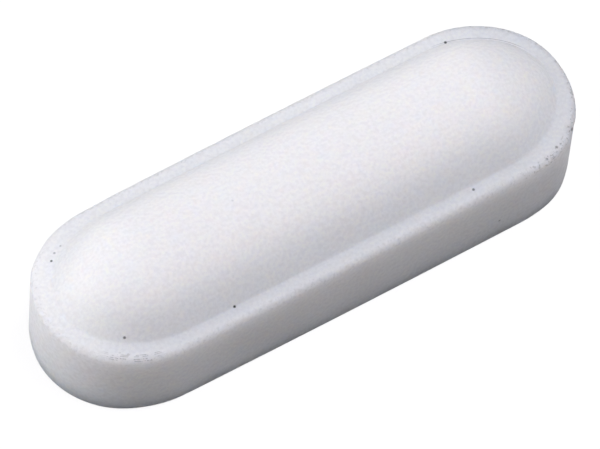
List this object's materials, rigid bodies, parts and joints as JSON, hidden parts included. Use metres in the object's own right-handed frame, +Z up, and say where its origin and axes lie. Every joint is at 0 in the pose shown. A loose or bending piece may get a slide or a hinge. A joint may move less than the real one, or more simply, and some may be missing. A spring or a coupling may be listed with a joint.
{
  "type": "magnetic stir bar",
  "caption": "Obround white PTFE stir bar with a flat underside, an upright wall, a narrow rim and a low domed top, moulded closed round a rod magnet.",
  "frame": {"origin": "centre of the flat underside", "axes": "+X along the bar, +Y across it, +Z up through the domed top"},
  "size_m": [0.05, 0.016, 0.0117],
  "materials": {
    "ptfe": "satin, waxy",
    "magnet": "ground"
  },
  "bodies": {
    "root": {"jacket": "ptfe", "magnet_rod": "magnet"}
  },
  "joints": []
}
